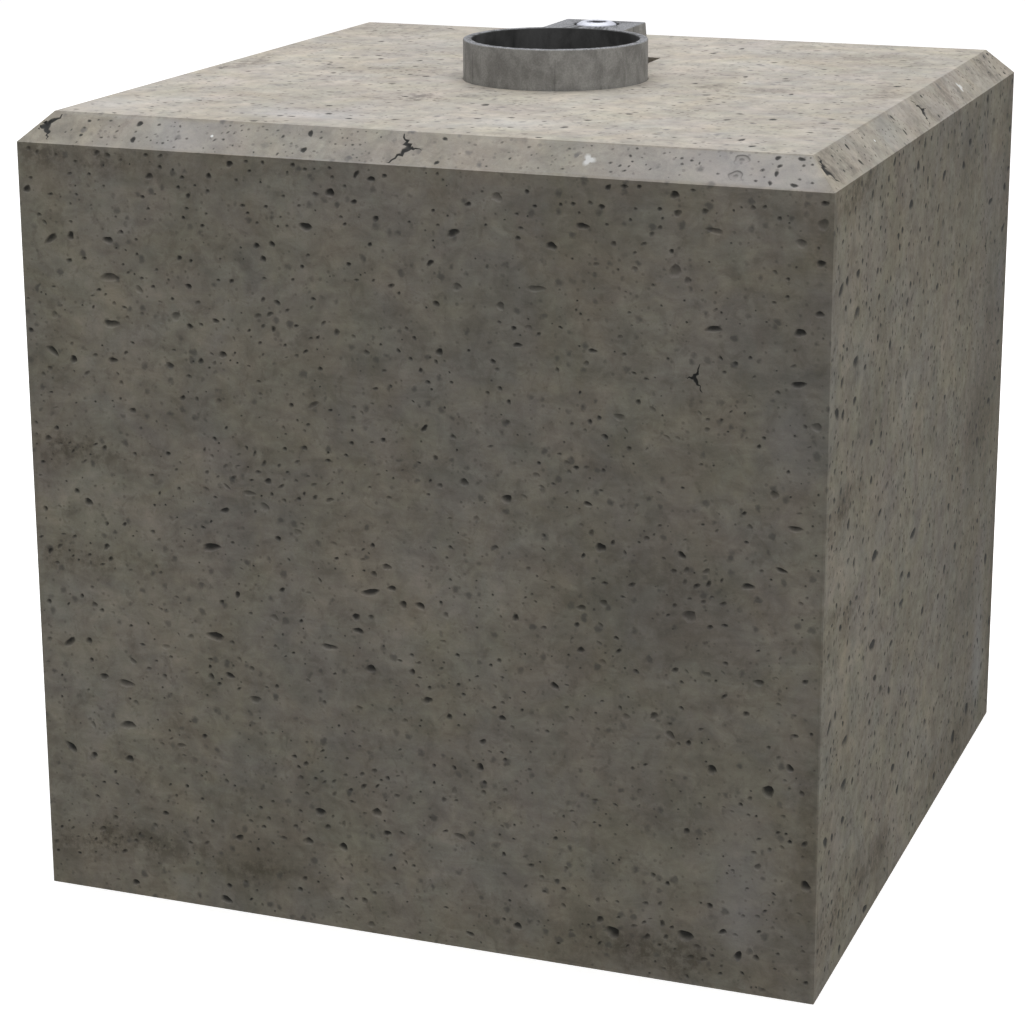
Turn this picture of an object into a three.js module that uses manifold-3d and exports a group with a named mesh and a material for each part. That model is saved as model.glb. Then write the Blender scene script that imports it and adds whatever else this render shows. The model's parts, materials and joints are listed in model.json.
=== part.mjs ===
// A precast concrete foundation block for a round sign post.
// A steel sleeve is cast into the block, and a lug on the sleeve carries the screw that locks the post.
// Units are millimetres, +Z is up, and the origin is the centre of the block's underside.
import * as THREE from "three";
import { mergeVertices } from "three/addons/utils/BufferGeometryUtils.js";
import Module from "manifold-3d";

const wasm = await Module();
wasm.setup();

// Driving dimensions of the concrete block
const BLOCK_SIDE = 300;
const BLOCK_HEIGHT = 296;
const BLOCK_CHAMFER = 10.2; // at 45 degrees, on the four top edges only

// Driving dimensions of the steel sleeve
const SLEEVE_OUTER_DIAMETER = 71.4;
const SLEEVE_WALL = 3.4;
const SLEEVE_STANDS_PROUD = 15.4; // of the block's top
const SOCKET_DEPTH = 265; // from the sleeve's rim down to the concrete floor
const SLEEVE_EMBEDDED_BELOW_FLOOR = 12;

// Driving dimensions of the lug behind the sleeve and of the pocket that it stands in
const LUG_WIDTH = 33.8; // at its top
const LUG_REACH = 60.5; // from the sleeve's axis to the lug's back, at its top
const LUG_HEIGHT = 40;
const LUG_CORNER_RADIUS = 1;
const LUG_DRAFT_DEGREES = 3.7; // the lug widens downwards
const POCKET_WIDTH = 41;
const POCKET_REACH = 69.5;
const POCKET_DEPTH = 28;

// Driving dimensions of the screw, an M10 with a hexagon socket
const SCREW_HEAD_DIAMETER = 16;
const SCREW_HEAD_HEIGHT = 10;
const SCREW_HEAD_PROUD = 1; // of the lug's top
const SCREW_HEAD_BEVEL = 1.8; // how far in the bevel runs, over the height that stands proud
const SCREW_SHANK_DIAMETER = 10;
const SCREW_SHANK_LENGTH = 24;
const SCREW_TIP_CHAMFER = 1;
const SCREW_SOCKET_ACROSS_FLATS = 8;
const SCREW_SOCKET_DEPTH = 5;
const COUNTERBORE_DIAMETER = 18;
const SCREW_HOLE_DIAMETER = 11;

// Clearance left between pieces that touch, and how far a cutting body passes the face that it cuts
const CLEARANCE = 0.3;
const OVERRUN = 5;

// Facets of a full circle, and of one rounded corner
const SLEEVE_SIDES = 96;
const SCREW_SIDES = 48;
const SQUARE_SIDES = 4;
const HEXAGON_SIDES = 6;
const CORNER_STEPS = 4;

// Vertices closer together than this are one
const MERGE_DISTANCE = 1e-4;

// Places worked out from the driving dimensions
const sleeveOuterRadius = SLEEVE_OUTER_DIAMETER / 2;
const sleeveInnerRadius = sleeveOuterRadius - SLEEVE_WALL;
const rimHeight = BLOCK_HEIGHT + SLEEVE_STANDS_PROUD;
const socketFloor = rimHeight - SOCKET_DEPTH;
const sleeveBottom = socketFloor - SLEEVE_EMBEDDED_BELOW_FLOOR;
const lugHalfWidth = LUG_WIDTH / 2;
const screwCentre = (sleeveOuterRadius + LUG_REACH) / 2;
const screwTop = rimHeight + SCREW_HEAD_PROUD;
const underScrewHead = screwTop - SCREW_HEAD_HEIGHT;

const concrete = new THREE.MeshStandardMaterial({ color: 0x8f8778, roughness: 0.9, metalness: 0 });
const galvanisedSteel = new THREE.MeshStandardMaterial({ color: 0x77746f, roughness: 0.65, metalness: 0.6 });
const brightZinc = new THREE.MeshStandardMaterial({ color: 0xdfe2ec, roughness: 0.35, metalness: 0.8 });

// A closed three.js geometry as a solid that can be cut and joined.
function solid(geometry) {
  const bare = geometry.clone();
  bare.deleteAttribute("normal");
  bare.deleteAttribute("uv");
  const merged = mergeVertices(bare, MERGE_DISTANCE);
  const corners = merged.index.array;
  const triVerts = [];
  for (let i = 0; i < corners.length; i += 3) {
    const [a, b, c] = corners.slice(i, i + 3);
    const hasArea = a !== b && b !== c && c !== a;
    if (hasArea) triVerts.push(a, b, c);
  }
  return new wasm.Manifold(
    new wasm.Mesh({
      numProp: 3,
      vertProperties: merged.attributes.position.array,
      triVerts: new Uint32Array(triVerts),
    }),
  );
}

// A solid as a named mesh.
function piece(name, body, material) {
  const { vertProperties, triVerts } = body.getMesh();
  const geometry = new THREE.BufferGeometry();
  geometry.setAttribute("position", new THREE.BufferAttribute(vertProperties, 3));
  geometry.setIndex(new THREE.BufferAttribute(triVerts, 1));
  geometry.computeVertexNormals();
  const mesh = new THREE.Mesh(geometry, material);
  mesh.name = name;
  return mesh;
}

// A solid of revolution about Z. The profile is a list of [radius, height] pairs.
function turned(profile, sides, firstAngle = 0) {
  const points = profile.map(([radius, height]) => new THREE.Vector2(radius, height));
  const geometry = new THREE.LatheGeometry(points, sides, firstAngle);
  return solid(geometry.rotateX(Math.PI / 2));
}

// A plain cylinder about Z, from one height to another.
function cylinder(radius, bottom, top, sides) {
  return turned([[0, bottom], [radius, bottom], [radius, top], [0, top]], sides);
}

// A square block with its top edges chamfered is a solid of revolution with four sides.
function chamferedBlock() {
  const cornerRadius = BLOCK_SIDE / Math.SQRT2;
  const chamferAtCorner = BLOCK_CHAMFER * Math.SQRT2;
  return turned(
    [
      [0, 0],
      [cornerRadius, 0],
      [cornerRadius, BLOCK_HEIGHT - BLOCK_CHAMFER],
      [cornerRadius - chamferAtCorner, BLOCK_HEIGHT],
      [0, BLOCK_HEIGHT],
    ],
    SQUARE_SIDES,
    Math.PI / SQUARE_SIDES,
  );
}

// The hole that the sleeve stands in. Its bottom is a groove, because concrete fills the sleeve's lower end.
function sleeveSeat() {
  const wallRadius = sleeveOuterRadius + CLEARANCE;
  const plugRadius = sleeveInnerRadius - CLEARANCE;
  return turned(
    [
      [0, socketFloor],
      [plugRadius, socketFloor],
      [plugRadius, sleeveBottom - CLEARANCE],
      [wallRadius, sleeveBottom - CLEARANCE],
      [wallRadius, BLOCK_HEIGHT + OVERRUN],
      [0, BLOCK_HEIGHT + OVERRUN],
    ],
    SLEEVE_SIDES,
  );
}

// The recess in the block's top that leaves room round the lug. It opens into the sleeve's hole.
function lugPocket() {
  const start = sleeveInnerRadius / 2;
  const length = POCKET_REACH - start;
  const height = POCKET_DEPTH + OVERRUN;
  const box = new THREE.BoxGeometry(POCKET_WIDTH, length, height);
  return solid(box.translate(0, start + length / 2, BLOCK_HEIGHT - POCKET_DEPTH + height / 2));
}

function concreteBlock() {
  const body = chamferedBlock().subtract(sleeveSeat()).subtract(lugPocket());
  return piece("concrete_block", body, concrete);
}

// The lug's outline from above: it starts on the sleeve's axis and has two rounded corners at its back.
function lugOutline() {
  const outline = new THREE.Shape();
  const corner = LUG_REACH - LUG_CORNER_RADIUS;
  const straight = lugHalfWidth - LUG_CORNER_RADIUS;
  outline.moveTo(-lugHalfWidth, 0);
  outline.lineTo(lugHalfWidth, 0);
  outline.lineTo(lugHalfWidth, corner);
  outline.absarc(straight, corner, LUG_CORNER_RADIUS, 0, Math.PI / 2, false);
  outline.absarc(-straight, corner, LUG_CORNER_RADIUS, Math.PI / 2, Math.PI, false);
  outline.closePath();
  return outline;
}

// The lug's body, with its sides and its back leaning out towards the bottom.
function lugBody() {
  const geometry = new THREE.ExtrudeGeometry(lugOutline(), {
    depth: LUG_HEIGHT,
    bevelEnabled: false,
    curveSegments: CORNER_STEPS,
  });
  geometry.translate(0, 0, rimHeight - LUG_HEIGHT);
  const place = geometry.attributes.position;
  const lean = Math.tan(THREE.MathUtils.degToRad(LUG_DRAFT_DEGREES));
  for (let i = 0; i < place.count; i += 1) {
    const outwards = lean * (rimHeight - place.getZ(i));
    const isAtBack = place.getY(i) > LUG_REACH / 2;
    place.setX(i, place.getX(i) + Math.sign(place.getX(i)) * outwards);
    if (isAtBack) place.setY(i, place.getY(i) + outwards);
  }
  return solid(geometry);
}

// The stepped hole through the lug for the screw's head and shank.
function screwHole() {
  const seat = underScrewHead - CLEARANCE;
  const hole = turned(
    [
      [0, rimHeight - LUG_HEIGHT - OVERRUN],
      [SCREW_HOLE_DIAMETER / 2, rimHeight - LUG_HEIGHT - OVERRUN],
      [SCREW_HOLE_DIAMETER / 2, seat],
      [COUNTERBORE_DIAMETER / 2, seat],
      [COUNTERBORE_DIAMETER / 2, rimHeight + OVERRUN],
      [0, rimHeight + OVERRUN],
    ],
    SCREW_SIDES,
  );
  return hole.translate([0, screwCentre, 0]);
}

// The tube and its lug are one steel piece, with one flush top face.
function postSleeve() {
  const tube = turned(
    [
      [sleeveInnerRadius, sleeveBottom],
      [sleeveOuterRadius, sleeveBottom],
      [sleeveOuterRadius, rimHeight],
      [sleeveInnerRadius, rimHeight],
      [sleeveInnerRadius, sleeveBottom],
    ],
    SLEEVE_SIDES,
  );
  const wallMiddle = sleeveOuterRadius - SLEEVE_WALL / 2;
  const core = cylinder(wallMiddle, 0, rimHeight + OVERRUN, SLEEVE_SIDES);
  const body = tube.add(lugBody().subtract(core)).subtract(screwHole());
  return piece("post_sleeve", body, galvanisedSteel);
}

function clampScrew() {
  const headRadius = SCREW_HEAD_DIAMETER / 2;
  const shankRadius = SCREW_SHANK_DIAMETER / 2;
  const tip = underScrewHead - SCREW_SHANK_LENGTH;
  const blank = turned(
    [
      [0, tip],
      [shankRadius - SCREW_TIP_CHAMFER, tip],
      [shankRadius, tip + SCREW_TIP_CHAMFER],
      [shankRadius, underScrewHead],
      [headRadius, underScrewHead],
      [headRadius, rimHeight],
      [headRadius - SCREW_HEAD_BEVEL, screwTop],
      [0, screwTop],
    ],
    SCREW_SIDES,
  );
  const hexagonRadius = SCREW_SOCKET_ACROSS_FLATS / Math.sqrt(3);
  const socket = cylinder(hexagonRadius, screwTop - SCREW_SOCKET_DEPTH, screwTop + OVERRUN, HEXAGON_SIDES);
  const screw = piece("clamp_screw", blank.subtract(socket), brightZinc);
  screw.position.y = screwCentre;
  return screw;
}

const foundation = new THREE.Group();
foundation.name = "sign_post_foundation";
foundation.add(concreteBlock(), postSleeve(), clampScrew());

export default foundation;
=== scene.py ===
"""A precast concrete foundation block for a round sign post, with its finished surfaces and a plain studio.

The faces of the block carry their air holes, faint hollows and cracks as real relief. A face is drawn in
millimetres, from its lower left corner, and then set into the scene in metres.
"""
import json
import math
import random

import bmesh
import bpy
import numpy as np
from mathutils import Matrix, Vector, noise
from mathutils.geometry import delaunay_2d_cdt


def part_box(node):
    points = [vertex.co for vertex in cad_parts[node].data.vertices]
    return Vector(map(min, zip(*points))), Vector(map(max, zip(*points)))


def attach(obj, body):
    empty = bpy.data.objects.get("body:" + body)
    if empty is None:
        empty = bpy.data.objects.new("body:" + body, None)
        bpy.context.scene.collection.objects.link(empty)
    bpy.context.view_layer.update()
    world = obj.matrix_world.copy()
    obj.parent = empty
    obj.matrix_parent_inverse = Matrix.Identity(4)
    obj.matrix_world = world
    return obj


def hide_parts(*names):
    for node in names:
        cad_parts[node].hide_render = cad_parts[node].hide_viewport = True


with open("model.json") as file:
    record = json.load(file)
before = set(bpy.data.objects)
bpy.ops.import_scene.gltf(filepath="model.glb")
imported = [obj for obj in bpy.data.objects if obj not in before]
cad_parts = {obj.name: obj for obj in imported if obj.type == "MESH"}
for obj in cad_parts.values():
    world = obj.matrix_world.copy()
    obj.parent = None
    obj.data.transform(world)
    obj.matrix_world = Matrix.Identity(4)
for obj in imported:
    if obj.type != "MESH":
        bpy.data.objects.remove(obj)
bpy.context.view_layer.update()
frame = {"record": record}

MM = 0.001

# Sizes read from the frame
block_low, block_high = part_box("concrete_block")
sleeve_low, sleeve_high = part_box("post_sleeve")
screw_low, screw_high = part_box("clamp_screw")
mount_place = {mount["name"]: mount["pos_m"] for mount in frame["record"]["mounts"]}
HALF_SIDE = block_high.x
BLOCK_TOP = block_high.z
SLEEVE_RADIUS = sleeve_high.x
SLEEVE_BOTTOM = sleeve_low.z
RIM = sleeve_high.z
SOCKET_FLOOR = mount_place["socket_floor"][2]
SCREW_RADIUS = screw_high.x
SCREW_CENTRE = (screw_low.y + screw_high.y) / 2
SCREW_TOP = screw_high.z
SCREW_TIP = screw_low.z

# Sizes of the solids that their boxes don't give
CHAMFER = 10.2 * MM
SLEEVE_WALL = 3.4 * MM
CLEARANCE = 0.3 * MM
POCKET_HALF_WIDTH = 20.5 * MM
POCKET_REACH = 69.5 * MM
POCKET_DEPTH = 28 * MM
LUG_HALF_WIDTH = 16.9 * MM
LUG_REACH = 60.5 * MM
LUG_HEIGHT = 40 * MM
LUG_CORNER = 1 * MM
LUG_DRAFT = math.tan(math.radians(3.7))
SCREW_HEAD_HEIGHT = 10 * MM
SCREW_HEAD_BEVEL = 1.8 * MM
SCREW_SHANK_RADIUS = 5 * MM
SCREW_SOCKET_FLAT = 4 * MM
SCREW_SOCKET_DEPTH = 5 * MM
COUNTERBORE_RADIUS = 9 * MM
SCREW_HOLE_RADIUS = 5.5 * MM

# Rounding of the steel edges
SLEEVE_EDGE = 0.45 * MM
SCREW_EDGE = 0.25 * MM

# Facets
SLEEVE_STEPS = 180
SCREW_STEPS = 72
CORNER_STEPS = 6
EDGE_STEPS = 3

# Air holes of the front and of the right side, listed one by one: millimetres from the left edge and down
# from the chamfer, width, height, tilt in degrees, and how open the hole is
SIDE_PITS = [
    (122, 11, 3, 3, 0, 1), (139, 19, 2.4, 2.2, 0, 1), (132, 4, 3, 1.6, 60, 0.9),
    (246, 4, 3, 2.6, 0, 0.9), (214, 16.5, 4.2, 2.2, 0, 0.9), (260, 15, 5.2, 2, -5, 0.5),
    (112.5, 23.5, 4.4, 2.8, 0, 1), (167.5, 22, 4.8, 2.4, 20, 0.9), (203, 24, 3.6, 2.6, 0, 0.9),
    (159, 33, 3, 1.8, 35, 0.9), (161, 47, 2.6, 2.2, 0, 0.8), (93.5, 31.5, 2.4, 2.2, 0, 1),
    (99.5, 30.5, 2.4, 2.2, 0, 1), (96, 36, 2.4, 2.2, 0, 1), (35, 33.5, 3.6, 2.6, 0, 0.8),
    (20, 33, 2.6, 2.8, 0, 0.9), (12, 34.5, 5, 2.6, 35, 0.8), (35, 47, 6.4, 3, 0, 0.6),
    (35, 64, 5.8, 2.8, 0, 0.7), (66.5, 48, 2.4, 2.2, 0, 1), (66.5, 62.5, 2.4, 2.2, 0, 1),
    (162, 64, 2.8, 2.4, 0, 0.8), (197.5, 39, 5.6, 2.2, 5, 0.4), (246.5, 29.5, 4, 4, 0, 0.3),
    (260, 48, 6, 1.9, 5, 0.9), (289.5, 47, 3.8, 2.6, 0, 1), (296, 23.5, 3.2, 2.2, 0, 0.9),
    (289.5, 64.5, 4.8, 2.2, 15, 0.9), (114, 87, 4.4, 2, 30, 0.4), (10.5, 76, 4.8, 2.6, -35, 0.8),
    (19, 78.5, 2.8, 2.6, 0, 0.9), (35, 77.5, 3.4, 2.2, 0, 0.8), (78, 129.5, 3.6, 1.9, 10, 0.9),
    (88, 122, 4.2, 2, 0, 0.4), (72, 144, 6.8, 2.8, 5, 1), (72.5, 178, 6.8, 2.8, -10, 1),
    (78, 192.5, 3.6, 2, -10, 1), (88, 200.5, 4.6, 2.4, 0, 0.5), (134.5, 154, 6.6, 2.4, 10, 1),
    (129.5, 169, 3.8, 2.2, -10, 0.9), (118, 176.5, 5.6, 2.2, -5, 0.7), (82, 161, 1.8, 2.8, 0, 1),
    (214, 150.5, 3.4, 2, 0, 0.6), (273.5, 136, 4.8, 2, 0, 0.8), (285, 129, 3.6, 1.8, -15, 0.9),
    (253, 149, 4.6, 3.8, 20, 0.5), (289.5, 114, 5.2, 1.8, 0, 0.7), (156, 192, 3.6, 2.4, 10, 0.8),
    (184.5, 195, 3, 1.8, 0, 0.9), (282, 209, 4.2, 3.8, 0, 1), (35, 201, 6.2, 2.6, 0, 0.6),
    (35, 217.5, 6.2, 2.8, 0, 0.7), (12, 187.5, 4.8, 2.6, 35, 0.8), (20, 186, 2.6, 2.6, 0, 0.9),
    (10.5, 229.5, 5, 2.6, -35, 0.9), (20, 231.5, 2.6, 2.6, 0, 1), (35, 231, 3.6, 2.4, 0, 0.9),
    (113, 241, 4.2, 2.6, 0, 1), (139.5, 245.5, 3, 2, 0, 1), (168, 242.5, 4.2, 2.2, -10, 0.5),
    (122, 253.5, 3, 3, 0, 1), (190, 274, 3.4, 2.4, 0, 0.9), (226, 270.5, 4.6, 4.2, -30, 1),
    (253, 267.5, 4.8, 4, 0, 1), (272.5, 272, 2.4, 3.4, 0, 1), (35.5, 281, 2.8, 2.4, 0, 1),
    (73.5, 282, 4.8, 2.4, -15, 1), (296, 242, 3.2, 3.6, 0, 0.9),
]
# Smaller holes near the upper edge of the same two sides, in the same measures
UPPER_SIDE_PITS = [
    (4.5, 2.2, 2.2, 1.6, 0, 0.6), (8, 3.4, 2.2, 1.4, 50, 0.45), (6.5, 6.2, 2.4, 1.2, 60, 0.4),
    (15.5, 4, 1.8, 1.4, 0, 0.4), (23.3, 5.9, 1.7, 1.3, 20, 0.6), (26.5, 2.6, 3.2, 1.9, 35, 0.55),
    (32, 2.4, 2.8, 1.7, 30, 0.6), (36.3, 3, 2.6, 1.8, -20, 0.6), (36, 6, 2.4, 1.4, 90, 0.4),
    (41.5, 4.4, 1.8, 1.2, 30, 0.4), (51.4, 2, 1.9, 1.5, 0, 0.7), (57.2, 2, 1.9, 1.5, 20, 0.6),
    (56.8, 6, 1.9, 1.6, 20, 0.8), (52.5, 9.5, 3.2, 2, 35, 0.7), (20.8, 10.4, 2.2, 1.2, 15, 0.5),
    (28.6, 10.1, 1.7, 1.3, 0, 0.8), (4.8, 12.9, 1.8, 1.4, 0, 0.6), (3.2, 17, 2.8, 2.6, 60, 0.8),
    (12.6, 18.3, 2.2, 1.3, 10, 0.8), (23.2, 17.8, 1.5, 1.2, 0, 0.7), (20.6, 21.2, 1.4, 1.2, 0, 0.6),
    (34.2, 14.1, 1.5, 1.2, 0, 0.5), (49.5, 17, 1.7, 1.6, 0, 0.9), (51.6, 21.1, 1.5, 1.3, 0, 0.7),
    (65.4, 9.1, 1.8, 1.5, 0, 0.8), (63.8, 12.7, 1.6, 1.4, 30, 0.8), (67.5, 15.5, 2.2, 1.7, 35, 0.9),
    (66.8, 20, 1.6, 1.3, 0, 0.8), (65.4, 23.4, 1.6, 1.4, 20, 0.9), (75.8, 8, 2.3, 2.2, 30, 0.9),
    (75.2, 13.4, 2, 1.4, 20, 0.7), (74.4, 21.4, 1.4, 1.2, 0, 0.6), (72.7, 25.8, 1.8, 1.4, 10, 0.9),
    (84, 3.3, 2.9, 2, 30, 1), (86.4, 8.8, 1.6, 1.4, 0, 0.6), (90.4, 2, 1.8, 1.4, 0, 0.7),
    (91.6, 5.3, 1.6, 1.3, 0, 0.8), (96.8, 2, 1.6, 1.5, 60, 0.8), (88.6, 17.6, 2, 1.4, 20, 0.8),
    (90.5, 20.1, 1.6, 1.2, 20, 0.8), (97.6, 17.4, 1.7, 1.4, 30, 0.8), (94, 23.4, 1.7, 1.2, 30, 0.6),
    (7.5, 26, 1.9, 1.5, 0, 0.7), (9.6, 28.6, 2.4, 1.4, -50, 0.6), (20.4, 27.8, 1.6, 1.3, 0, 0.6),
    (38.6, 24.8, 1.4, 1.1, 0, 0.6), (40.4, 30.2, 2.2, 1.6, -30, 0.8), (46.4, 32.5, 1.5, 1.3, 20, 0.7),
    (46.5, 37.8, 1.5, 1.2, 20, 0.7), (63.3, 38, 2.2, 1.8, 20, 1), (67.7, 38.7, 1.5, 1.5, -30, 0.9),
    (19, 42, 2.4, 1.8, 0, 0.8), (25.2, 40.8, 2, 1.5, 20, 0.8), (10.4, 38.4, 1.6, 1.3, 0, 0.7),
    (40.8, 41.9, 1.4, 1.2, 0, 0.7), (42.7, 44.8, 1.6, 1.2, 30, 0.6), (48, 46.4, 1.6, 1.3, 0, 0.7),
    (54, 42.9, 1.5, 1.3, 0, 0.6), (52.4, 49.2, 1.8, 1.5, 0, 0.8), (78.3, 44.9, 1.6, 1.3, 20, 0.7),
    (83.5, 44.8, 2, 1.6, 35, 0.9), (96.2, 42.9, 1.6, 1.3, 0, 0.6), (108.2, 2.2, 2.2, 1.6, 20, 0.8),
    (106.1, 4.8, 1.4, 1.2, 20, 0.7), (108.6, 6.2, 2.6, 2.2, 0, 0.9), (112.8, 3.4, 1.7, 1.4, 20, 0.7),
    (104.4, 13.3, 1.6, 1.3, 0, 0.6), (116.5, 11.8, 2.6, 1.6, 10, 0.6), (110.2, 16.3, 1.5, 1.3, 20, 0.6),
    (122.1, 2.4, 1.6, 1.3, 0, 0.8), (123, 5.5, 1.7, 1.3, 20, 0.6), (127.7, 8.4, 1.6, 1.3, 10, 0.6),
    (131, 13.6, 2.2, 1.9, 20, 1), (137.6, 5.3, 2.8, 1.9, 10, 1), (142.5, 3.9, 2.2, 1.5, 20, 0.9),
    (126, 19.2, 1.6, 1.3, 0, 0.6), (127.4, 21.6, 1.6, 1.3, 20, 0.8), (136.7, 28.1, 2, 1.5, 20, 1),
    (128.6, 35.6, 2, 1.6, 20, 0.9), (131.5, 40.9, 1.7, 1.2, 20, 0.7), (137.8, 40.6, 1.7, 1.1, 30, 0.7),
    (144.4, 42, 2.6, 1.7, 20, 0.8), (147.3, 44.4, 1.5, 1.3, 30, 0.8), (113.2, 33.5, 1.7, 1.3, 10, 0.6),
    (110.9, 37.7, 1.8, 1.5, 20, 0.9), (107.2, 42.6, 1.6, 1.3, 0, 0.7), (151.5, 19.2, 1.4, 1.2, 0, 0.7),
    (162, 2, 1.5, 1.3, 20, 0.7), (164.1, 3.9, 1.3, 1.1, 0, 0.6), (160.3, 14.7, 1.5, 1.4, 0, 0.9),
    (173.1, 11.7, 2.4, 1.7, 25, 1), (162, 19.6, 1.5, 1.2, 20, 0.6), (183.5, 8.6, 3.4, 3, 0, 0.35),
    (178.3, 7, 1.4, 1.1, 20, 0.6), (194.3, 6.1, 1.9, 1.6, 10, 0.9), (197.1, 10.8, 1.6, 1.3, 0, 0.9),
    (190.7, 13.9, 1.5, 1.2, 0, 0.7), (192, 18.6, 1.9, 1.3, 0, 0.7), (191, 22.1, 2.4, 1.5, 0, 0.8),
    (168.8, 40.6, 3.4, 2.6, 0, 0.4), (184.6, 46, 2.8, 2.6, 0, 0.4), (179.9, 32.7, 2, 1.2, 90, 0.5),
    (206.3, 9.7, 1.6, 1.3, 20, 0.8), (210.7, 9.2, 1.8, 1.5, 20, 0.8), (216.7, 8.6, 1.9, 1.9, 0, 0.5),
    (220.8, 9.5, 2.4, 1.8, 10, 1), (223, 2.9, 2.2, 2, 50, 1), (228.6, 2.2, 2.6, 1.5, 0, 0.9),
    (233.8, 2, 1.9, 1.4, 20, 0.9), (212.9, 12, 1.4, 1.2, 20, 0.6), (222.6, 15.4, 1.5, 1.2, 20, 0.7),
    (230.8, 13.3, 1.5, 1.3, 0, 0.7), (232.6, 9.5, 1.5, 1.2, 20, 0.6), (238.3, 17.6, 2.4, 1.5, 40, 0.6),
    (235.6, 21, 2.4, 1.3, 10, 0.6), (225, 21.7, 2.2, 1.9, 10, 0.6), (241, 9, 1.8, 1.4, 10, 0.9),
    (242, 12, 1.4, 1.2, 10, 0.7), (241.2, 15.2, 1.7, 1.6, 40, 0.6), (247.2, 10, 2.8, 2.2, 60, 0.6),
    (245.2, 22.9, 1.9, 1.7, 0, 0.9), (232.4, 24.3, 1.7, 1.2, 20, 0.6), (252.3, 2, 1.8, 1.3, 0, 0.7),
    (256.5, 8.8, 2.2, 2.2, 20, 0.7), (259, 5.1, 1.4, 1.1, 20, 0.5), (272.8, 6.6, 2, 1.8, 0, 0.6),
    (276.8, 6, 1.8, 1.3, 20, 0.7), (281.8, 9.5, 1.8, 1.5, 10, 0.7), (289.3, 17.2, 3.4, 2.6, 0, 0.4),
    (296.8, 3.6, 2.6, 1.9, 10, 0.9), (296.4, 10.6, 3.8, 3.2, 20, 0.4), (296, 40.3, 3.2, 1.9, 5, 0.7),
    (285.1, 29.3, 1.5, 1.3, 0, 0.7), (280.6, 27.2, 1.6, 1.3, 0, 0.5), (285, 35.2, 1.5, 1.3, 0, 0.8),
    (280.5, 37.5, 1.6, 1.3, 0, 0.6), (250.9, 32.3, 2.6, 2.4, 60, 0.5), (232.4, 29.7, 2.6, 1.7, 0, 0.4),
    (218.9, 29.1, 2.2, 1.5, 25, 0.4), (230.7, 44.7, 1.5, 1.2, 20, 0.6), (216.2, 48.4, 1.4, 1.1, 0, 0.5),
]
# How far down these reach. Above it only narrow holes are scattered.
UPPER_SIDE = 50.0
NARROW = 1.4
# A crack on the same two sides: place, then each arm's bearing in degrees, length and width
SIDE_CRACKS = [((253.5, 65), [(65, 5.5, 1.8), (-55, 6.0, 1.8), (185, 3.0, 1.4)])]

# Marks on the chamfers: millimetres from the left end and up from the lower edge
CHAMFER_PITS = [
    (45.5, 10.8, 2.3, 3.3, -25, 1.2), (45.2, 3.8, 2.3, 3.1, 20, 1.2), (111.7, 11, 2.3, 3.3, 25, 1.2),
    (111.2, 4, 2.3, 3.1, -25, 1.2), (161.5, 12.2, 2.5, 1.9, -30, 1.2), (161.2, 2.2, 2.5, 1.9, 30, 1.2),
    (278.5, 12.4, 2.8, 1.9, 45, 1), (279.7, 9.3, 2.4, 1.9, 40, 1), (279.3, 6.2, 2.8, 1.8, 80, 1),
    (277.9, 2.4, 2.4, 1.9, 110, 1), (274.3, 7.3, 2.4, 1.6, 40, 0.8), (286.4, 12.5, 3.4, 1.8, -5, 1),
    (286, 2, 3.4, 1.8, -5, 1), (287.6, 10, 1.8, 1.4, 0, 0.8), (287.4, 4.5, 1.7, 1.3, 0, 0.7),
    (290.4, 10.6, 1.7, 1.2, 0, 0.8), (291.8, 3.4, 1.7, 1.3, 0, 0.8), (228.4, 9.8, 1.7, 1.4, -20, 0.9),
    (229.6, 7.6, 1.4, 1.2, 0, 0.9), (228.9, 5.6, 1.5, 1, 40, 0.9), (227.8, 3.7, 1.7, 1.1, 30, 0.9),
    (230, 12.9, 1.6, 1.2, 0, 0.8), (206.6, 11.2, 1.7, 1.2, 0, 0.7), (206.2, 2.9, 1.7, 1.2, 0, 0.7),
    (25.4, 10.8, 2.1, 1.6, -20, 1), (24.5, 7.7, 1.9, 1.2, 0, 0.7), (24.3, 4.5, 2.2, 1.5, 30, 1),
    (33.8, 11.4, 1.7, 1.2, 0, 0.7), (32.6, 4, 1.7, 1.2, 0, 0.8),
]
# Burst bubbles, shallow dishes of which only a faint ring of painted shade shows, darkest on its upper
# side: place, width and height
CHAMFER_BUBBLES = [
    (266.5, 10.8, 6.2, 4.6),
    (265.9, 4.3, 6.0, 4.4),
]
CHAMFER_CRACKS = [
    ((9.2, 7.8), [(48, 7.2, 3.4), (-66, 6.8, 3.2), (208, 3.4, 2.6), (140, 2.7, 2.2)]),
    ((149.5, 7.2), [(118, 7.4, 2.8), (-137, 9.2, 2.8), (0, 5.2, 1.6)]),
]
# Slanting small holes on the chamfers: centre, reach and count
CHAMFER_CLUSTERS = [
    ((85, 7), (90, 8), 70),
    ((240, 7), (70, 8), 40),
]
# How much paler the front chamfer, the right one and the two behind are, negative if darker, as painted
# light and shade on one material
CHAMFER_TONES = [-0.04, 0.04, 0.0, 0.0]
# Pale flecks on the chamfers: place, size, how deeply their three lobes are cut, and how white they are
CHAMFER_FLECKS = [
    (75.0, 7.5, 1.4, 0.0, 1.8),
    (214.5, 7.2, 6.4, 0.6, 1.0),
]

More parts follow.
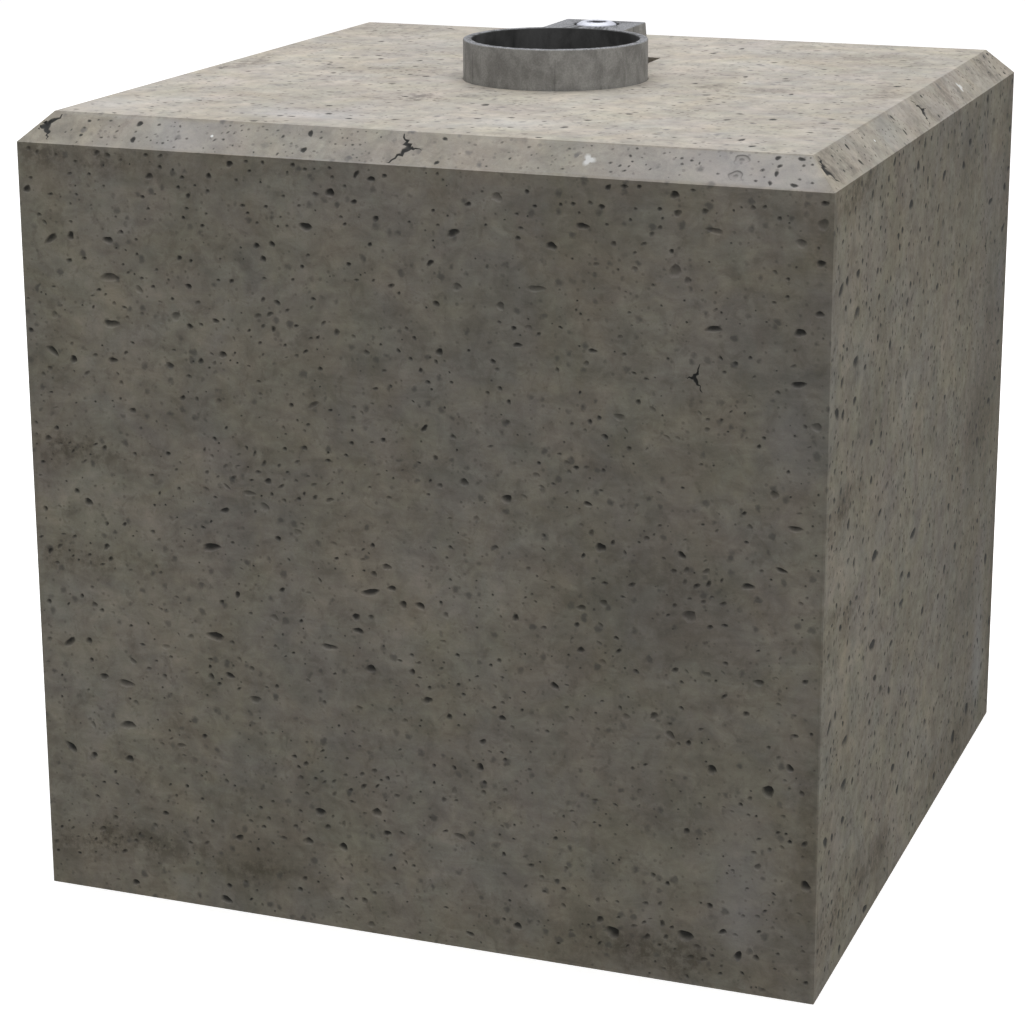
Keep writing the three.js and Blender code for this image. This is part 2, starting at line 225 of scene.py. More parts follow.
# Marks on the top: millimetres from the left and from the front edge of the flat
TOP_PITS = [
    (54, 168, 2.2, 3.4, 10, 1), (71, 168, 2.2, 3.4, -10, 1), (41, 146, 2, 3.2, 0, 0.9),
    (83, 130, 2, 3, 0, 0.9), (208, 168, 2.2, 3.4, 10, 1), (224, 168, 2.2, 3.4, -10, 1),
    (195, 144, 2, 3.2, 0, 0.9), (237, 129, 2, 3, 0, 0.9), (95, 27, 2.6, 3.6, 15, 1),
    (184, 27, 2.6, 3.6, -15, 1), (249, 22, 2.4, 4.6, -10, 1), (247, 68, 2.6, 4.6, 0, 1),
    (232, 62, 2.4, 3.4, 0, 0.9), (256, 10.5, 2.4, 3.6, 0, 1), (183, 248, 2.4, 4.4, 0, 0.9),
    (139.5, 66, 3.2, 4.6, 0, 1),
]

# Stains: centre, reach along and up in millimetres, and strength. Dark is positive and pale is negative.
# On the sides the places are from the left edge and down from the chamfer.
SIDE_STAINS = [
    ((20, 4), (50, 7), 0.7), ((14, 112), (34, 6), 0.8), ((14, 153), (34, 6), 0.7),
    ((24, 265), (44, 8), 0.9), ((88, 266), (18, 8), 0.6), ((184, 272), (14, 7), 0.5),
    ((244, 276), (34, 9), 0.8), ((298, 225), (7, 40), 0.4), ((245, 140), (30, 18), 0.35),
    ((272, 250), (9, 34), -0.7), ((288, 85), (8, 14), -0.4), ((56, 275), (9, 3), -0.5),
]
TOP_STAINS = [
    ((8, 140), (8, 34), 0.8), ((272, 140), (8, 34), 0.8), ((140, 140), (44, 44), 0.55),
    ((112, 75), (26, 14), 0.9), ((215, 138), (26, 8), 0.7), ((64, 138), (26, 8), 0.6),
    ((230, 60), (26, 9), 0.5), ((60, 60), (30, 9), 0.4), ((20, 262), (30, 20), 0.5),
    ((245, 235), (30, 14), 0.5), ((218, 150), (9, 9), -0.4), ((62, 150), (9, 9), -0.4),
    ((12, 22), (18, 20), -0.5), ((86, 22), (22, 9), -0.6), ((165, 30), (20, 10), -0.5),
]
# On the front chamfer and on the right one, from the left end and from the lower edge
CHAMFER_STAINS = [
    [((270, 7), (50, 20), -0.6), ((66, 7), (24, 20), -0.5), ((20, 7), (18, 20), 0.3)],
    [
        ((14, 7), (40, 20), 0.8),
        ((170, 7), (50, 20), 0.6),
        ((270, 7), (40, 20), 0.5),
        ((85, 7), (24, 20), -0.2),
    ],
]

# How strongly the front, the right side and the two behind show their stains, zones and the painted shade
# of their holes
SIDE_STAIN = [1.0, 1.2, 0.5, 0.5]
SIDE_TONE = [1.0, 1.8, 0.5, 0.5]
SIDE_MARK = [1.0, 1.3, 1.0, 1.0]
# Clusters of slanting holes on the same sides: centre, reach and count
SIDE_CLUSTERS = [
    ((14, 112), (34, 6), 40), ((14, 153), (34, 6), 36), ((24, 265), (44, 8), 50),
    ((100, 62), (20, 12), 36), ((98, 116), (36, 10), 50), ((14, 78), (12, 8), 14),
    ((240, 268), (40, 12), 50), ((250, 140), (30, 16), 36), ((130, 230), (30, 20), 36),
]
# Broad paler and darker zones of the sides: centre, reach and change of brightness, negative if darker
SIDE_TONES = [
    ((0, 140), (110, 400), 0.05), ((300, 140), (80, 400), -0.05), ((100, 45), (14, 38), 0.08),
    ((118, 98), (18, 14), 0.08), ((188, 97), (12, 16), 0.07), ((18, 52), (18, 12), 0.08),
    ((22, 134), (24, 12), 0.12), ((36, 172), (30, 10), 0.07), ((122, 264), (12, 20), 0.10),
    ((150, 145), (36, 36), 0.05), ((267, 12), (9, 12), 0.10), ((64, 92), (30, 9), -0.08),
    ((214, 20), (18, 20), -0.10), ((247, 143), (28, 16), -0.16), ((275, 95), (20, 34), -0.08),
    ((292, 52), (9, 50), -0.10), ((236, 214), (36, 24), -0.08), ((297, 235), (5, 50), -0.16),
    ((240, 272), (34, 10), -0.10), ((88, 266), (16, 8), -0.12),
]

# Rings of an air hole from its rim to its floor: share of its outline, of its depth and of its painted
# shade.
# Each kind has a smallest width, how many points go round a ring, and how much darker its upper wall is
# painted, as shade under the rim.
SMALL_PIT = {"width": 0.0, "steps": 6, "shade": 0.0, "rings": [(1.0, 0.0, 0.0), (0.0, 1.0, 1.5)]}
MEDIUM_PIT = {
    "width": 1.5,
    "steps": 7,
    "shade": 0.15,
    "rings": [(1.0, 0.0, 0.0), (0.66, 0.75, 0.62), (0.0, 1.0, 1.25)],
}
LARGE_PIT = {
    "width": 2.8,
    "steps": 12,
    "shade": 0.3,
    "rings": [(1.0, 0.0, 0.0), (0.82, 0.5, 0.38), (0.55, 0.95, 0.95), (0.0, 1.0, 1.3)],
}
BURST_BUBBLE = {
    "width": 4.0,
    "steps": 20,
    "shade": 0.7,
    "rings": [
        (1.0, 0.0, 0.0),
        (0.85, 0.3, 1.0),
        (0.64, 0.5, 0.25),
        (0.42, 0.5, 0.2),
        (0.24, 0.5, 0.9),
        (0.0, 0.5, 0.9),
    ],
}
# How deep an open hole is, as a share of its width: on the front, the right side and the two behind
SIDE_SINK = [0.3, 0.05, 0.3, 0.3]
# The same on all other faces
SINK = 0.08
# Depth of a shut hole as a share of an open one's, and how far up the floors of the sides' holes lean
SHUT_DEPTH = 0.3
FLOOR_LEAN = 0.35
# How much wider than listed the holes are worn: on the front, the right side and the two behind
SIDE_WEAR = [1.22, 1.6, 1.1, 1.1]
# The same on the top
TOP_WEAR = 1.18
# Waves round the rim of a hole: how many, and their height as a share of its radius
RIM_WAVES = [(2, 0.10), (3, 0.10), (5, 0.05)]
BUBBLE_OPENNESS = 0.42

# Scattered air holes: how many on each kind of face
SEEN_SIDE_SCATTER = 1100
HIDDEN_SIDE_SCATTER = 420
TOP_SCATTER = 1700
CHAMFER_SCATTER = 70
UNDERSIDE_SCATTER = 120
# Sorts of scattered holes: share of all, smallest and largest width in millimetres, and how open they are
SCATTER_SORTS = [
    (0.74, (1.1, 2.3), (0.3, 0.9)),
    (0.10, (1.8, 3.6), (0.2, 0.5)),
    (0.16, (1.8, 3.6), (0.6, 1.0)),
]
SCATTER_SLIMNESS = (0.5, 1.0)
SCATTER_TILT = (0, 28)
# How wide the clumps of scattered holes are, and how full the places between them
CLUMP_SIZE = 22.0
CLUMP_FILL = 0.55
# Holes of a cluster: their width, slimness, tilt with its spread, and how open they are
SIDE_CLUSTER_WIDTH = (1.2, 3.0)
CHAMFER_CLUSTER_WIDTH = (1.2, 2.0)
CLUSTER_SLIMNESS = (0.45, 0.8)
CLUSTER_TILT = (30, 25)
CLUSTER_OPENNESS = (0.4, 0.9)
# The widest hole that is scattered on a chamfer
CHAMFER_WIDEST = 1.6
# Steps round a fleck, the share of it that is white, and how ragged its rim is
FLECK_STEPS = 24
FLECK_MIDDLE = 0.55
FLECK_RAGGEDNESS = (0.88, 1.0)
# Depth of a crack, the share of it that is lost at the tips, and its painted shade, which is full up to the
# rim
CRACK_DEPTH = 0.8
CRACK_SHOALING = 0.7
CRACK_MARK = 3.0
# How far an arm of a crack sways, and how ragged its rim is, as shares of its width
CRACK_SWAY = 0.3
CRACK_RAGGEDNESS = (0.7, 1.2)
# How an arm of a crack tapers: share of its way to the tip, and of its width
CRACK_TAPER = [(0.1, 0.95), (0.25, 0.8), (0.4, 0.55), (0.55, 0.32), (0.72, 0.24), (0.88, 0.2)]
# Share of its width that a hole keeps free round its middle
PIT_ROOM = 0.62
EDGE_MARGIN = 0.2
# Spacing of the loose points on a face, where each may lie in its square, and the room that it needs
GRID_STEP = 7.5
GRID_JITTER = (0.2, 0.8)
GRID_ROOM = 0.3

# What the triangulation is asked for: all triangles inside the outline
INSIDE = 1
SAME_POINT = 1e-5


class Parts:
    """Points and faces gathered for one mesh, with what is painted on each point."""

    def __init__(self):
        self.points = []
        self.paint = {"stain": [], "mark": [], "tone": []}
        self.faces = []
        self.smooth = []

    def add_points(self, points, **paint):
        """Adds points and returns the number of the first."""
        first = len(self.points)
        self.points += [tuple(point) for point in points]
        for name, values in self.paint.items():
            values += paint.get(name) or [0.0] * len(points)
        return first

    def add_face(self, corners, smooth=False):
        self.faces.append(corners)
        self.smooth.append(smooth)

    def add_wall(self, upper, lower, closed=True, smooth=True, stain=0.0):
        """Quads between two rows of points. Seen from outside, the rows run to the right."""
        count = len(upper)
        top = self.add_points(upper, stain=[stain] * count)
        bottom = self.add_points(lower, stain=[stain] * count)
        for i in range(count if closed else count - 1):
            j = (i + 1) % count
            self.add_face((top + i, bottom + i, bottom + j, top + j), smooth)

    def add_cap(self, outline, holes=(), up=True, stain=0.0):
        """A flat face at one height, with holes in it."""
        loops = [outline, *holes]
        flat = [(p[0], p[1]) for loop in loops for p in loop]
        edges = []
        for loop in loops:
            start = len(edges)
            edges += [(start + i, start + (i + 1) % len(loop)) for i in range(len(loop))]
        corners, triangles, _ = triangulate([(x / MM, y / MM) for x, y in flat], edges)
        height = outline[0][2]
        places = [(x * MM, y * MM, height) for x, y in corners]
        first = self.add_points(places, stain=[stain] * len(corners))
        flat_holes = [[(p[0] / MM, p[1] / MM) for p in hole] for hole in holes]
        for triangle in triangles:
            middle = [sum(corners[i][axis] for i in triangle) / 3 for axis in (0, 1)]
            if any(is_inside(middle, hole) for hole in flat_holes):
                continue
            order = triangle if up else reversed(triangle)
            self.add_face(tuple(first + i for i in order))

    def build(self, name):
        """Makes the mesh object, with its doubled points joined."""
        mesh = bpy.data.meshes.new(name)
        mesh.from_pydata(self.points, [], self.faces)
        for paint, values in self.paint.items():
            mesh.attributes.new(paint, "FLOAT", "POINT").data.foreach_set("value", values)
        mesh.polygons.foreach_set("use_smooth", self.smooth)
        shape = bmesh.new()
        shape.from_mesh(mesh)
        bmesh.ops.remove_doubles(shape, verts=shape.verts, dist=MM / 1000)
        shape.to_mesh(mesh)
        shape.free()
        piece = bpy.data.objects.new(name, mesh)
        bpy.context.scene.collection.objects.link(piece)
        return piece


def triangulate(points, edges):
    """Corners and triangles inside the edges, and for each corner the point that it comes from."""
    corners, _, triangles, origins, _, _ = delaunay_2d_cdt(
        [Vector(point) for point in points], edges, [], INSIDE, SAME_POINT
    )
    return [tuple(corner) for corner in corners], triangles, [origin[0] for origin in origins]


def is_inside(point, outline):
    """Whether a flat outline goes round a point."""
    x, y = point
    inside = False
    for (ax, ay), (bx, by) in zip(outline, outline[1:] + outline[:1]):
        if (ay > y) != (by > y) and x < ax + (bx - ax) * (y - ay) / (by - ay):
            inside = not inside
    return inside


class Face:
    """One flat face of the block while its relief is drawn, in millimetres from its lower left corner."""

    def __init__(self, corner, along, up, outline, seed, sink=SINK, wider=1.0, darker=1.0, lean=0.0):
        self.corner = Vector(corner)
        self.along = Vector(along)
        self.up = Vector(up)
        self.inwards = -self.along.cross(self.up)
        self.outline = outline
        self.random = random.Random(seed)
        self.clump_place = 10.0 * seed
        self.sink = sink
        self.wider = wider
        self.darker = darker
        self.lean = lean
        self.points = []
        self.depths = []
        self.marks = []
        self.edges = []
        self.taken = np.zeros((0, 3))
        self.holes = []
        self.add_loop([(u, v, 0.0, 0.0) for u, v in outline])

    def add_loop(self, loop, closed=True):
        """Adds points, each a place, a depth and a mark, and the edges from one to the next."""
        first = len(self.points)
        for u, v, depth, mark in loop:
            self.points.append((u, v))
            self.depths.append(depth)
            self.marks.append(mark)
        count = len(loop)
        for i in range(count if closed else count - 1):
            self.edges.append((first + i, first + (i + 1) % count))

    def add_loose(self, u, v, depth=0.0, mark=0.0):
        self.points.append((u, v))
        self.depths.append(depth)
        self.marks.append(mark)

    def take(self, u, v, reach):
        """Keeps a round place free of anything drawn later."""
        self.taken = np.vstack([self.taken, (u, v, reach)])

    def is_free(self, u, v, reach):
        """Whether a round place lies within the outline and clear of what is drawn already."""
        for (au, av), (bu, bv) in zip(self.outline, self.outline[1:] + self.outline[:1]):
            length = math.hypot(bu - au, bv - av)
            inside = ((bu - au) * (v - av) - (bv - av) * (u - au)) / length
            if inside < reach + EDGE_MARGIN:
                return False
        gaps = np.hypot(self.taken[:, 0] - u, self.taken[:, 1] - v) - self.taken[:, 2]
        return not (gaps < reach).any()

    def cut_hole(self, outline):
        self.holes.append(outline)
        self.add_loop([(u, v, 0.0, 0.0) for u, v in outline])

    def add_pit(self, u, v, width, height, tilt, openness, kind=None):
        """An air hole with an uneven round rim, painted with shade inside. Its floor leans towards its
        upper side, whose wall is painted darker as shade.
        """
        size = max(width, height)
        kinds = (SMALL_PIT, MEDIUM_PIT, LARGE_PIT)
        kind = kind or max(kinds, key=lambda pit: (pit["width"] <= size, pit["width"]))
        width *= self.wider
        height *= self.wider
        self.take(u, v, size * self.wider * PIT_ROOM)
        phases = [self.random.uniform(0, math.tau) for _ in RIM_WAVES]
        depth = min(width, height) * self.sink * (SHUT_DEPTH + (1 - SHUT_DEPTH) * openness)
        turn = math.radians(tilt)
        for share, depth_share, mark_share in kind["rings"]:
            loop = []
            for step in range(kind["steps"] if share else 1):
                angle = math.tau * step / kind["steps"]
                swell = 1 + sum(a * math.cos(k * angle + p) for (k, a), p in zip(RIM_WAVES, phases))
                x = width / 2 * share * swell * math.cos(angle)
                y = height / 2 * (share * swell * math.sin(angle) + self.lean * (1 - share))
                place_u = u + x * math.cos(turn) - y * math.sin(turn)
                place_v = v + x * math.sin(turn) + y * math.cos(turn)
                # The mark is painted shade, strongest at the floor and on the upper wall.
                mark = openness * self.darker * mark_share * (1 + kind["shade"] * math.sin(angle))
                loop.append((place_u, place_v, depth * depth_share, mark))
            self.add_loop(loop, closed=share > 0)

    def add_crack(self, place, arms):
        """A ragged star of tapering arms, each with its bearing in degrees, length and width."""
        arms = sorted(arms)
        middle = Vector(place)
        self.take(*place, max(length for _, length, _ in arms))
        forks = []
        for (bearing, _, width), (following, _, next_width) in zip(arms, arms[1:] + arms[:1]):
            half_opening = math.radians((following - bearing) % 360) / 2
            reach = (width + next_width) / 4 / math.sin(half_opening)
            forks.append((reach, half_opening))
        rim = []
        first = len(self.points)
        self.add_loose(*place, CRACK_DEPTH, CRACK_MARK)
        for index, (bearing, length, width) in enumerate(arms):
            turn = math.radians(bearing)
            ahead = Vector((math.cos(turn), math.sin(turn)))
            aside = Vector((-ahead.y, ahead.x))
            start = max(reach * math.cos(opening) for reach, opening in (forks[index - 1], forks[index]))
            right, left, floor = [], [], []
            for share, breadth in CRACK_TAPER:
                sway = self.random.uniform(-CRACK_SWAY, CRACK_SWAY) * width
                half = width / 2 * breadth
                centre = middle + ahead * (start + (length - start) * share) + aside * sway
                right.append(centre - aside * half * self.random.uniform(*CRACK_RAGGEDNESS))
                left.append(centre + aside * half * self.random.uniform(*CRACK_RAGGEDNESS))
                floor.append((*centre, CRACK_DEPTH * (1 - CRACK_SHOALING * share), CRACK_MARK))
            reach, opening = forks[index]
            fork = Vector((math.cos(turn + opening), math.sin(turn + opening)))
            rim += [*right, middle + ahead * length, *reversed(left), middle + fork * reach]
            self.edges.append((first, len(self.points)))
            self.add_loop(floor, closed=False)
        self.add_loop([(*point, 0.0, 0.0) for point in rim])

    def add_fleck(self, u, v, size, lobing, whiteness):
        """A flat pale spot of lime, round or with three lobes."""
        self.take(u, v, size * PIT_ROOM)
        for share, mark in ((1.0, 0.0), (FLECK_MIDDLE, -whiteness)):
            loop = []
            for step in range(FLECK_STEPS):
                angle = math.tau * step / FLECK_STEPS
                lobe = math.sqrt((1 + math.cos(3 * angle)) / 2)
                reach = size / 2 * share * (1 - lobing * (1 - lobe))
                reach *= self.random.uniform(*FLECK_RAGGEDNESS)
                loop.append((u + reach * math.cos(angle), v + reach * math.sin(angle), 0.0, mark))
            self.add_loop(loop)

    def add_fitting_pit(self, u, v, width, *shape):
        """Adds an air hole if there is room for it, and returns whether there was."""
        fits = self.is_free(u, v, width * self.wider * PIT_ROOM)
        if fits:
            self.add_pit(u, v, width, *shape)
        return fits

    def add_cluster(self, centre, reach, count, widths):
        """Adds slanting dark holes about a place, as many as there is room for."""
        for _ in range(count):
            u = self.random.gauss(centre[0], reach[0] / 2)
            v = self.random.gauss(centre[1], reach[1] / 2)
            width = self.random.uniform(*widths)
            slimness = self.random.uniform(*CLUSTER_SLIMNESS)
            tilt = self.random.gauss(*CLUSTER_TILT)
            openness = self.random.uniform(*CLUSTER_OPENNESS)
            self.add_fitting_pit(u, v, width, width * slimness, tilt, openness)

    def scatter(self, count, widest=math.inf, narrow_above=math.inf):
        """Adds air holes of several sorts in loose clumps, and only narrow ones above a height."""
        us = [u for u, _ in self.outline]
        vs = [v for _, v in self.outline]
        shares = [share for share, _, _ in SCATTER_SORTS]
        added = 0
        while added < count:
            u = self.random.uniform(min(us), max(us))
            v = self.random.uniform(min(vs), max(vs))
            _, (smallest, largest), (shut, opened) = self.random.choices(SCATTER_SORTS, shares)[0]
            width = smallest + (largest - smallest) * self.random.random() ** 2
            slimness = self.random.uniform(*SCATTER_SLIMNESS)
            tilt = self.random.gauss(*SCATTER_TILT)
            openness = self.random.uniform(shut, opened)
            clump = noise.noise(Vector((u / CLUMP_SIZE, v / CLUMP_SIZE, self.clump_place)))
            is_wanted = self.random.random() < CLUMP_FILL + clump
            is_too_wide = width > (NARROW if v > narrow_above else widest)
            if is_wanted and not is_too_wide:
                added += self.add_fitting_pit(u, v, width, width * slimness, tilt, openness)

    def add_grid(self):
        """Adds loose points all over the face, so that its stains are drawn evenly."""
        us = [u for u, _ in self.outline]
        vs = [v for _, v in self.outline]
        columns = int((max(us) - min(us)) / GRID_STEP)
        rows = int((max(vs) - min(vs)) / GRID_STEP)
        for column in range(columns + 1):
            for row in range(rows + 1):
                u = min(us) + (column + self.random.uniform(*GRID_JITTER)) * GRID_STEP
                v = min(vs) + (row + self.random.uniform(*GRID_JITTER)) * GRID_STEP
                if self.is_free(u, v, GRID_ROOM):
                    self.add_loose(u, v)

    def build(self, parts, stains=(), tones=()):
        """Adds the finished face to the parts of a mesh."""
        corners, triangles, origins = triangulate(self.points, self.edges)
        places = []
        for (u, v), origin in zip(corners, origins):
            along = self.along * (u * MM) + self.up * (v * MM)
            places.append(self.corner + along + self.inwards * (self.depths[origin] * MM))
        first = parts.add_points(
            places,
            stain=[zone_strength(stains, u, v) for u, v in corners],
            tone=[zone_strength(tones, u, v) for u, v in corners],
            mark=[self.marks[origin] for origin in origins],
        )
        for triangle in triangles:
            middle = [sum(corners[i][axis] for i in triangle) / 3 for axis in (0, 1)]
            if any(is_inside(middle, hole) for hole in self.holes):
                continue
            is_sunk = any(self.depths[origins[i]] > 0 for i in triangle)
            parts.add_face(tuple(first + i for i in triangle), is_sunk)


def zone_strength(zones, u, v):
    """How strongly soft round zones reach a place. Each has a centre, a reach both ways and a strength."""
    total = 0.0
    for (centre_u, centre_v), (reach_u, reach_v), strength in zones:
        total += strength * math.exp(-(((u - centre_u) / reach_u) ** 2) - ((v - centre_v) / reach_v) ** 2)
    return total


def quarter_turned(vector, quarters):
    """A vector turned about Z by quarter turns."""
    x, y, z = vector
    for _ in range(quarters):
        x, y = -y, x
    return Vector((x, y, z))


def side_face(parts, quarters):
    """A side of the block. The front and the right side show the listed holes."""
    width = 2 * HALF_SIDE / MM
    height = (BLOCK_TOP - CHAMFER) / MM
    face = Face(
        quarter_turned((-HALF_SIDE, -HALF_SIDE, 0), quarters),
        quarter_turned((1, 0, 0), quarters),
        (0, 0, 1),
        [(0, 0), (width, 0), (width, height), (0, height)],
        seed=11 + quarters,
        sink=SIDE_SINK[quarters],
        wider=SIDE_WEAR[quarters],
        darker=SIDE_MARK[quarters],
        lean=FLOOR_LEAN,
    )
    shows_in_photo = quarters < 2
    if shows_in_photo:
        for (u, down), arms in SIDE_CRACKS:
            face.add_crack((u, height - down), arms)
        for u, down, *shape in SIDE_PITS:
            face.add_pit(u, height - down, *shape)
        for u, down, *shape in UPPER_SIDE_PITS:
            face.add_fitting_pit(u, height - down, *shape)
        for (u, down), reach, count in SIDE_CLUSTERS:
            face.add_cluster((u, height - down), reach, count, SIDE_CLUSTER_WIDTH)
        face.scatter(SEEN_SIDE_SCATTER, narrow_above=height - UPPER_SIDE)
    else:
        face.scatter(HIDDEN_SIDE_SCATTER)
    face.add_grid()
    stains, tones = [
        [
            ((u if shows_in_photo else width - u, height - down), reach, strength * share)
            for (u, down), reach, strength in zones
        ]
        for zones, share in ((SIDE_STAINS, SIDE_STAIN[quarters]), (SIDE_TONES, SIDE_TONE[quarters]))
    ]
    face.build(parts, stains, tones)


def chamfer_face(parts, quarters):
    width = 2 * HALF_SIDE / MM
    inset = CHAMFER / MM
    slope = inset * math.sqrt(2)
    face = Face(
        quarter_turned((-HALF_SIDE, -HALF_SIDE, BLOCK_TOP - CHAMFER), quarters),
        quarter_turned((1, 0, 0), quarters),
        quarter_turned((0, math.sqrt(0.5), math.sqrt(0.5)), quarters),
        [(0, 0), (width, 0), (width - inset, slope), (inset, slope)],
        seed=21 + quarters,
    )
    for place, arms in CHAMFER_CRACKS:
        face.add_crack(place, arms)
    for fleck in CHAMFER_FLECKS:
        face.add_fleck(*fleck)
    for u, v, bubble_width, bubble_height in CHAMFER_BUBBLES:
        face.add_pit(u, v, bubble_width, bubble_height, 0, BUBBLE_OPENNESS, BURST_BUBBLE)
    for pit in CHAMFER_PITS:
        face.add_pit(*pit)
    for cluster in CHAMFER_CLUSTERS:
        face.add_cluster(*cluster, CHAMFER_CLUSTER_WIDTH)
    face.scatter(CHAMFER_SCATTER, widest=CHAMFER_WIDEST)
    face.add_grid()
    stains = CHAMFER_STAINS[quarters] if quarters < len(CHAMFER_STAINS) else []
    face.build(parts, stains, [((width / 2, 0), (math.inf, math.inf), CHAMFER_TONES[quarters])])


def arc(radius, start, end, steps, height, centre=(0.0, 0.0)):
    """Points on an arc about a vertical axis, from one angle to another."""
    points = []
    for step in range(steps + 1):
        angle = start + (end - start) * step / steps
        points.append((centre[0] + radius * math.cos(angle), centre[1] + radius * math.sin(angle), height))
    return points


def circle(radius, steps, height, centre=(0.0, 0.0)):
    return arc(radius, 0, math.tau, steps, height, centre)[:-1]


def at_height(points, height):
    return [(x, y, height) for x, y, _ in points]


def seat_arcs(height):
    """The hole round the sleeve as two arcs: round its front, and across the pocket behind it."""
    radius = SLEEVE_RADIUS + CLEARANCE
    pocket_side = math.acos(POCKET_HALF_WIDTH / radius)
    front = arc(radius, math.pi - pocket_side, math.tau + pocket_side, SLEEVE_STEPS * 3 // 4, height)
    back = arc(radius, pocket_side, math.pi - pocket_side, SLEEVE_STEPS // 4, height)
    return front, back


def pocket_corners(height):
    return [(POCKET_HALF_WIDTH, POCKET_REACH, height), (-POCKET_HALF_WIDTH, POCKET_REACH, height)]


def top_face(parts):
    """The flat top, with the hole for the sleeve and its lug."""
    half = (HALF_SIDE - CHAMFER) / MM
    width = 2 * half
    face = Face(
        (-HALF_SIDE + CHAMFER, -HALF_SIDE + CHAMFER, BLOCK_TOP),
        (1, 0, 0),
        (0, 1, 0),
        [(0, 0), (width, 0), (width, width), (0, width)],
        seed=31,
        wider=TOP_WEAR,
    )
    front, _ = seat_arcs(BLOCK_TOP)
    hole = [*front, *pocket_corners(BLOCK_TOP)]
    face.cut_hole([(x / MM + half, y / MM + half) for x, y, _ in hole])
    face.take(half, half, (SLEEVE_RADIUS + CLEARANCE) / MM + EDGE_MARGIN)
    pocket_middle = SCREW_CENTRE / MM
    pocket_reach = math.hypot(POCKET_HALF_WIDTH, POCKET_REACH - SCREW_CENTRE) / MM
    face.take(half, half + pocket_middle, pocket_reach + EDGE_MARGIN)
    for pit in TOP_PITS:
        face.add_pit(*pit)
    face.scatter(TOP_SCATTER)
    face.add_grid()
    face.build(parts, TOP_STAINS)


def underside(parts):
    width = 2 * HALF_SIDE / MM
    face = Face(
        (-HALF_SIDE, HALF_SIDE, 0),
        (1, 0, 0),
        (0, -1, 0),
        [(0, 0), (width, 0), (width, width), (0, width)],
        seed=41,
    )
    face.scatter(UNDERSIDE_SCATTER)
    face.add_grid()
    face.build(parts)


def seat_and_pocket(parts):
    """The hole for the sleeve, the concrete plug in its lower end, and the pocket round the lug."""
    pocket_floor = BLOCK_TOP - POCKET_DEPTH
    groove = SLEEVE_BOTTOM - CLEARANCE
    front, back = seat_arcs(pocket_floor)
    seat = [*front, *back[1:-1]]
    parts.add_wall(front, at_height(front, BLOCK_TOP), closed=False)
    pocket = [front[-1], *pocket_corners(pocket_floor), front[0]]
    parts.add_wall(pocket, at_height(pocket, BLOCK_TOP), closed=False, smooth=False)
    parts.add_cap([*pocket, *back[-2:0:-1]])
    parts.add_wall(at_height(seat, groove), seat)
    plug = circle(SLEEVE_RADIUS - SLEEVE_WALL - CLEARANCE, SLEEVE_STEPS, groove)
    parts.add_cap(at_height(seat, groove), [plug])
    parts.add_wall(at_height(plug, SOCKET_FLOOR), plug)
    parts.add_cap(at_height(plug, SOCKET_FLOOR))


def concrete_piece():
    parts = Parts()
    for quarters in range(4):
        side_face(parts, quarters)
        chamfer_face(parts, quarters)
    top_face(parts)
    underside(parts)
    seat_and_pocket(parts)
    return parts.build("concrete_body")


def sleeve_outline(height, inset):
    """The sleeve and its lug in outline, from where the lug's right side leaves the sleeve."""
    lean = LUG_DRAFT * (RIM - height)
    radius = SLEEVE_RADIUS - inset
    half = LUG_HALF_WIDTH + lean - inset
    reach = LUG_REACH + lean - inset
    corner = LUG_CORNER - inset
    root = math.acos(half / radius)
    middle = (half - corner, reach - corner)
    right = arc(corner, 0, math.pi / 2, CORNER_STEPS, height, middle)
    left = arc(corner, math.pi / 2, math.pi, CORNER_STEPS, height, (-middle[0], middle[1]))
    tube = arc(radius, math.pi - root, math.tau + root, SLEEVE_STEPS * 3 // 4, height)
    return [*right, *left, *tube], tube, root


def edge_profile(edge):
    """Steps of a rounded edge: how far below the top, and how far in from the side."""
    turns = [math.pi / 2 * step / EDGE_STEPS for step in range(EDGE_STEPS + 1)]
    return [(edge * (1 - math.cos(turn)), edge * (1 - math.sin(turn))) for turn in turns]


